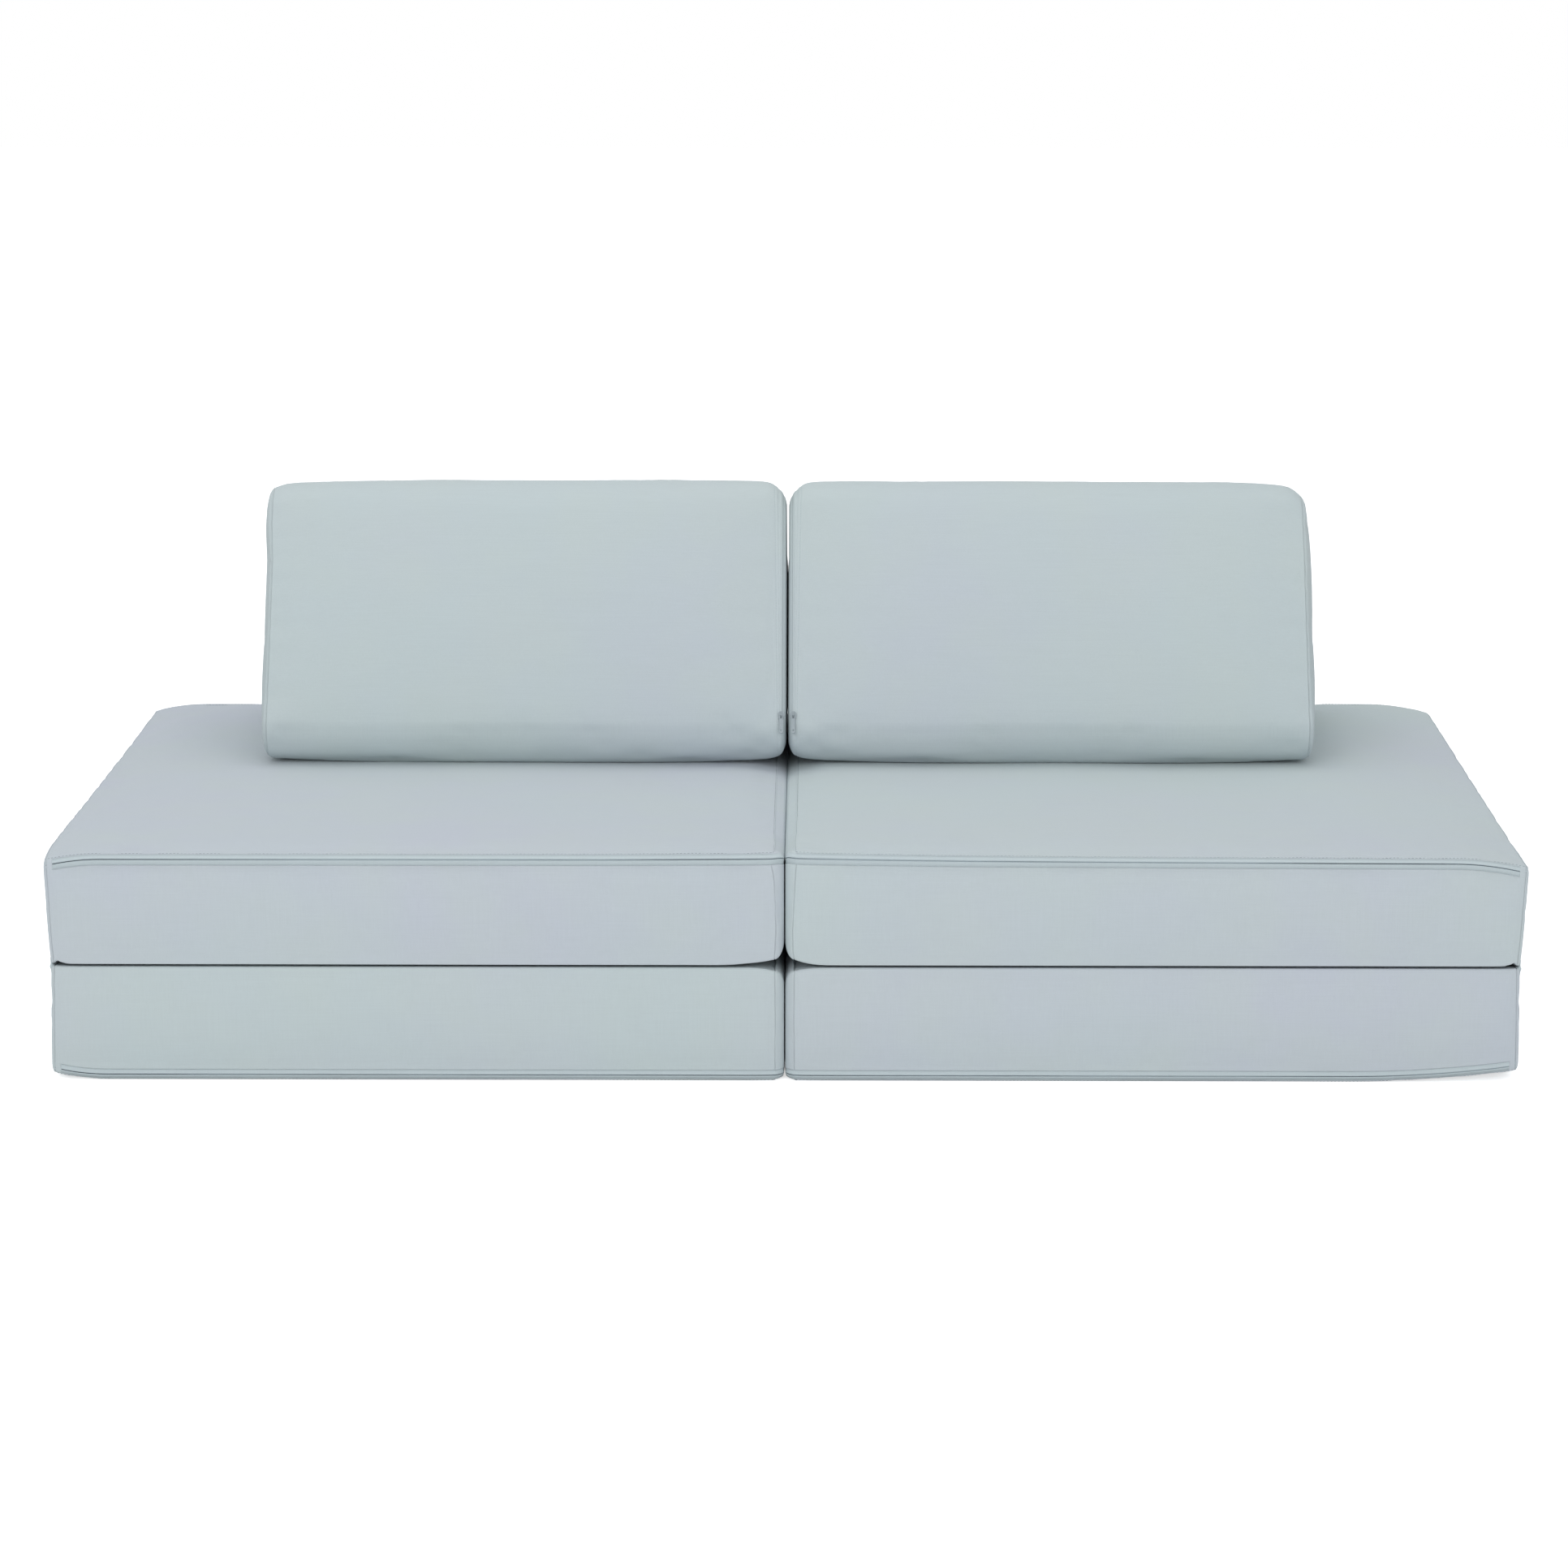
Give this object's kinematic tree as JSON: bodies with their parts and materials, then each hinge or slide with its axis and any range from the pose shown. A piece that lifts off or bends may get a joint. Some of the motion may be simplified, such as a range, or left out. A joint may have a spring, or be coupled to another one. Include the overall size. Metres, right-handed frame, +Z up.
{
  "type": "modular foam sofa",
  "caption": "Low frameless foam sofa: folding square floor mats shut double thick as the seat, and loose wedge cushions as the back, all foam in zipped cloth covers.",
  "frame": {"origin": "on the floor, under the middle of the sofa's box", "axes": "+X to the right in a view from the front, +Y to the rear, +Z up"},
  "size_m": [1.6762, 0.8398, 0.5984],
  "materials": {
    "cloth": "matte",
    "seam_cloth": "matte",
    "foam": "matte",
    "zip_tape": "matte",
    "zip_metal": "satin"
  },
  "bodies": {
    "left_base": {"left_base_foam": "foam", "left_base_cover": "cloth", "left_base_zip_edge_half": "zip_tape", "left_base_zip_side_half": "zip_tape", "left_fold_hinge": "seam_cloth"},
    "left_base_slider": {"left_base_zip_slider": "zip_metal"},
    "left_base_pull": {"left_base_zip_pull": "zip_metal"},
    "left_seat": {"left_seat_foam": "foam", "left_seat_cover": "cloth", "left_seat_zip_edge_half": "zip_tape", "left_seat_zip_side_half": "zip_tape"},
    "left_seat_slider": {"left_seat_zip_slider": "zip_metal"},
    "left_seat_pull": {"left_seat_zip_pull": "zip_metal"},
    "left_back": {"left_back_foam": "foam", "left_back_cover": "cloth", "left_back_zip_inner_half": "zip_tape", "left_back_zip_outer_half": "zip_tape"},
    "left_back_slider": {"left_back_zip_slider": "zip_metal"},
    "left_back_pull": {"left_back_zip_pull": "zip_metal"},
    "right_base": {"right_base_foam": "foam", "right_base_cover": "cloth", "right_base_zip_edge_half": "zip_tape", "right_base_zip_side_half": "zip_tape", "right_fold_hinge": "seam_cloth"},
    "right_base_slider": {"right_base_zip_slider": "zip_metal"},
    "right_base_pull": {"right_base_zip_pull": "zip_metal"},
    "right_seat": {"right_seat_foam": "foam", "right_seat_cover": "cloth", "right_seat_zip_edge_half": "zip_tape", "right_seat_zip_side_half": "zip_tape"},
    "right_seat_slider": {"right_seat_zip_slider": "zip_metal"},
    "right_seat_pull": {"right_seat_zip_pull": "zip_metal"},
    "right_back": {"right_back_foam": "foam", "right_back_cover": "cloth", "right_back_zip_inner_half": "zip_tape", "right_back_zip_outer_half": "zip_tape"},
    "right_back_slider": {"right_back_zip_slider": "zip_metal"},
    "right_back_pull": {"right_back_zip_pull": "zip_metal"}
  },
  "joints": [
    {"name": "left_fold", "type": "hinge", "parent": "left_base", "child": "left_seat", "pos_m": [-0.836, 0, 0.131], "axis": [0, -1, 0], "range_deg": [0, 180]},
    {"name": "right_fold", "type": "hinge", "parent": "right_base", "child": "right_seat", "pos_m": [0.836, 0, 0.131], "axis": [0, 1, 0], "range_deg": [0, 180]},
    {"name": "right_mat_apart", "type": "slide", "parent": "left_base", "child": "right_base", "axis": [1, 0, 0], "range_m": [0, 0.5]},
    {"name": "left_back_over", "type": "hinge", "parent": "left_seat", "child": "left_back", "pos_m": [-0.33, 0.442, 0.2663], "axis": [-1, 0, 0], "range_deg": [0, 180]},
    {"name": "right_back_over", "type": "hinge", "parent": "right_seat", "child": "right_back", "pos_m": [0.33, 0.442, 0.2663], "axis": [-1, 0, 0], "range_deg": [0, 180]},
    {"name": "left_base_slider_slide", "type": "slide", "parent": "left_base", "child": "left_base_slider", "axis": [1, 0, 0], "range_m": [0, 0.73]},
    {"name": "left_base_pull_swing", "type": "hinge", "parent": "left_base_slider", "child": "left_base_pull", "pos_m": [-0.758, 0.4181, 0.007], "axis": [0, 0, -1], "range_deg": [0, 160]},
    {"name": "left_seat_slider_slide", "type": "slide", "parent": "left_seat", "child": "left_seat_slider", "axis": [1, 0, 0], "range_m": [0, 0.73]},
    {"name": "left_seat_pull_swing", "type": "hinge", "parent": "left_seat_slider", "child": "left_seat_pull", "pos_m": [-0.758, 0.4181, 0.255], "axis": [0, 0, -1], "range_deg": [0, 160]},
    {"name": "left_back_slider_slide", "type": "slide", "parent": "left_back", "child": "left_back_slider", "axis": [0, 0.4718, 0.8817], "range_m": [0, 0.24]},
    {"name": "left_back_pull_swing", "type": "hinge", "parent": "left_back_slider", "child": "left_back_pull", "pos_m": [-0.0075, 0.03302, 0.33187], "axis": [-1, 0, 0], "range_deg": [0, 150]},
    {"name": "right_base_slider_slide", "type": "slide", "parent": "right_base", "child": "right_base_slider", "axis": [-1, 0, 0], "range_m": [0, 0.73]},
    {"name": "right_base_pull_swing", "type": "hinge", "parent": "right_base_slider", "child": "right_base_pull", "pos_m": [0.758, 0.4181, 0.007], "axis": [0, 0, 1], "range_deg": [0, 160]},
    {"name": "right_seat_slider_slide", "type": "slide", "parent": "right_seat", "child": "right_seat_slider", "axis": [-1, 0, 0], "range_m": [0, 0.73]},
    {"name": "right_seat_pull_swing", "type": "hinge", "parent": "right_seat_slider", "child": "right_seat_pull", "pos_m": [0.758, 0.4181, 0.255], "axis": [0, 0, 1], "range_deg": [0, 160]},
    {"name": "right_back_slider_slide", "type": "slide", "parent": "right_back", "child": "right_back_slider", "axis": [0, 0.4718, 0.8817], "range_m": [0, 0.24]},
    {"name": "right_back_pull_swing", "type": "hinge", "parent": "right_back_slider", "child": "right_back_pull", "pos_m": [0.0075, 0.03302, 0.33187], "axis": [-1, 0, 0], "range_deg": [0, 150]}
  ],
  "couplings": [
    {"joint": "left_back_over", "follows": "left_fold", "ratio": 1},
    {"joint": "right_back_over", "follows": "right_fold", "ratio": 1}
  ]
}
